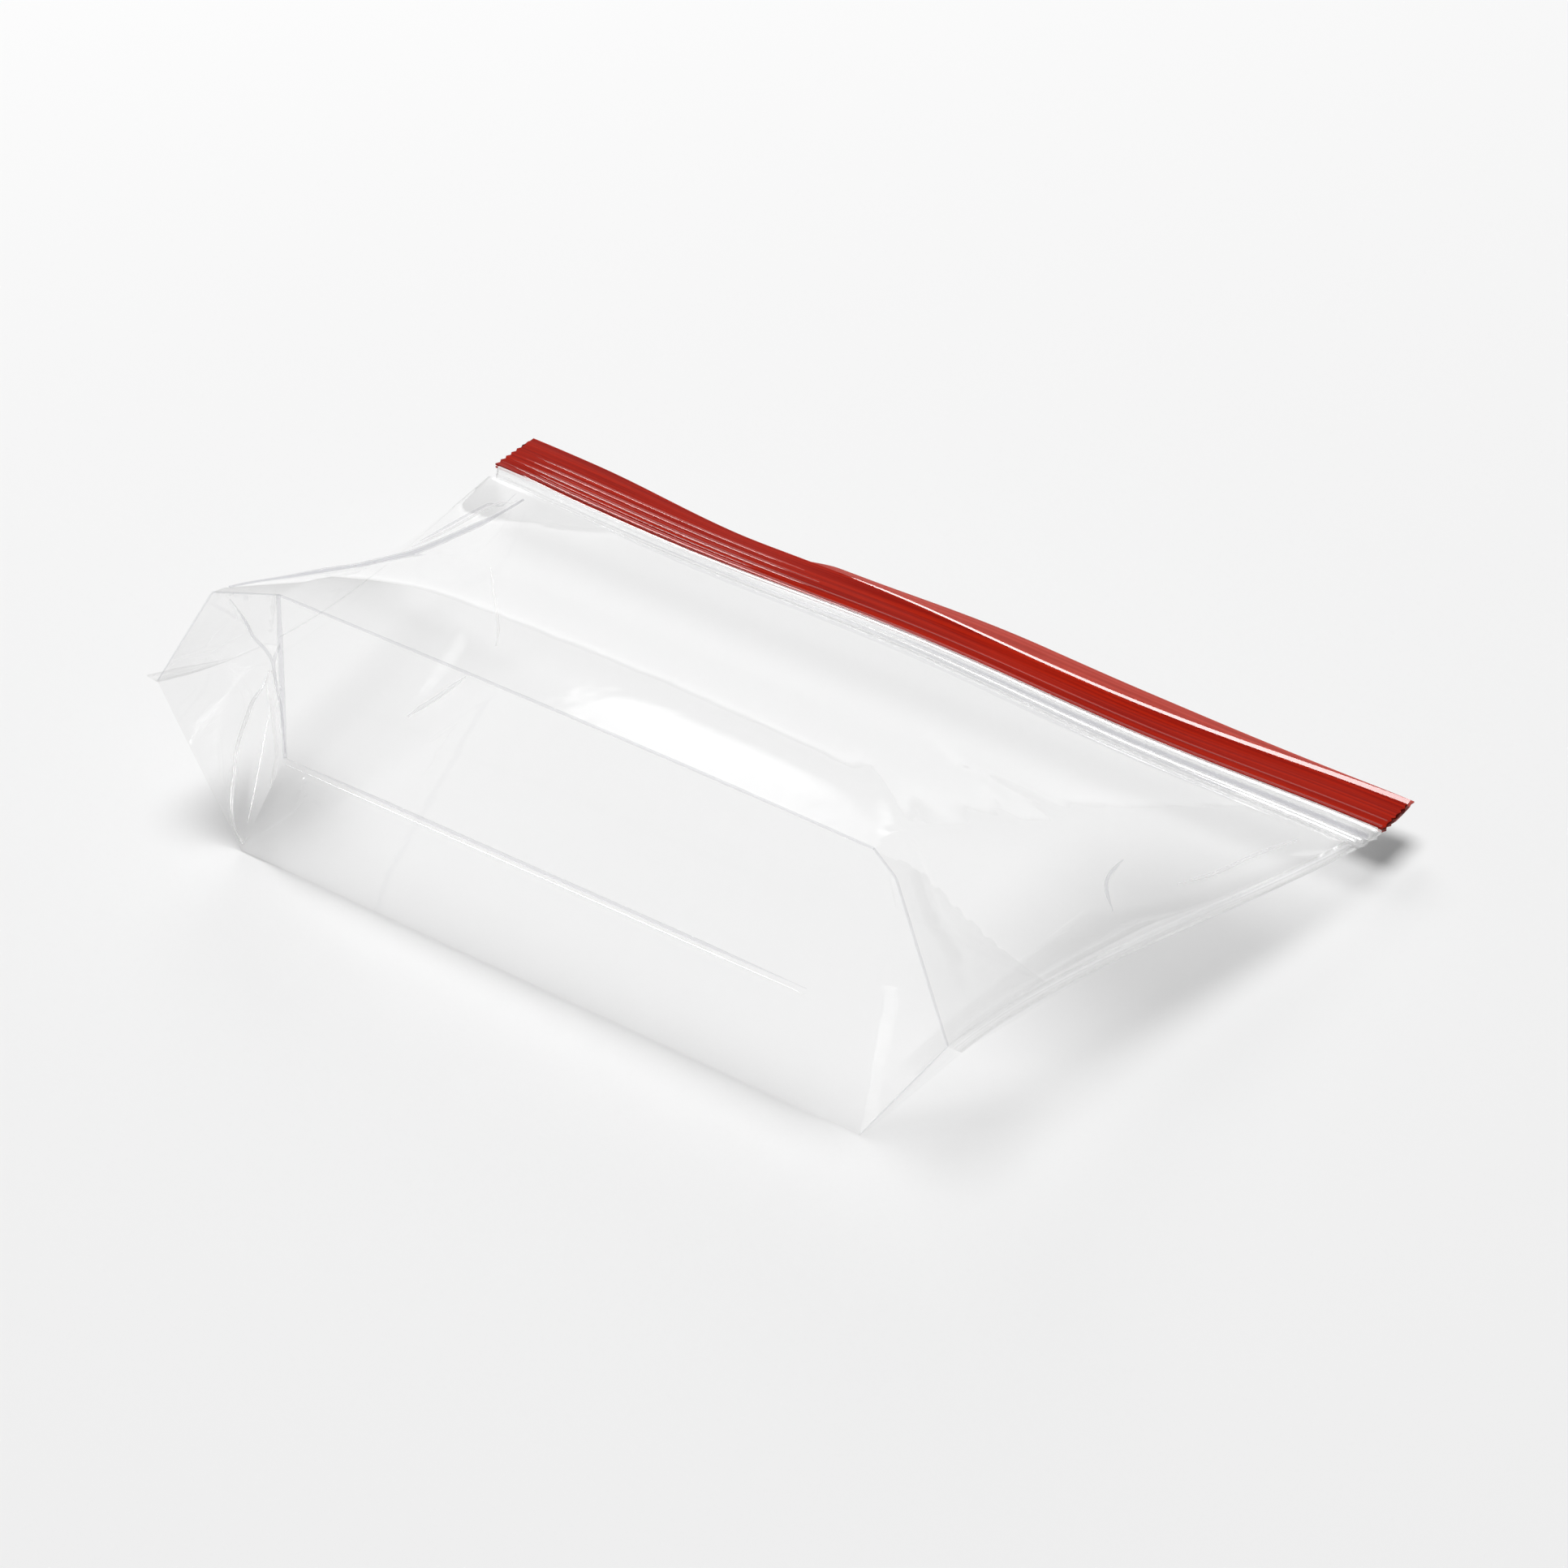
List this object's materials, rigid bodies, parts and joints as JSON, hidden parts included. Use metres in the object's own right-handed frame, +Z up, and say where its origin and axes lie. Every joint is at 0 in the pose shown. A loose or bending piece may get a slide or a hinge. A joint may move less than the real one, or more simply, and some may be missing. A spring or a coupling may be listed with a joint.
{
  "type": "freezer bag",
  "caption": "Empty clear zip freezer bag with an opened bottom gusset, pressed shut, puffed with air and lying on its back panel.",
  "frame": {"origin": "centre of the bag's footprint, on the surface it lies on", "axes": "+X along the zip, +Y from the opened gusset towards the zip, +Z up off the surface"},
  "size_m": [0.27, 0.1734, 0.0724],
  "materials": {
    "clear_film": "clear glossy polyethylene film",
    "red_tape": "glossy ribbed polyethylene, see-through red at thin edges",
    "red_lip": "glossy thin polyethylene",
    "clear_track": "clear glossy extruded polyethylene"
  },
  "bodies": {
    "root": {"pouch_film": "clear_film", "zip_tape_front": "red_tape", "zip_tape_back": "red_lip", "clear_zip_band": "clear_track"}
  },
  "joints": []
}
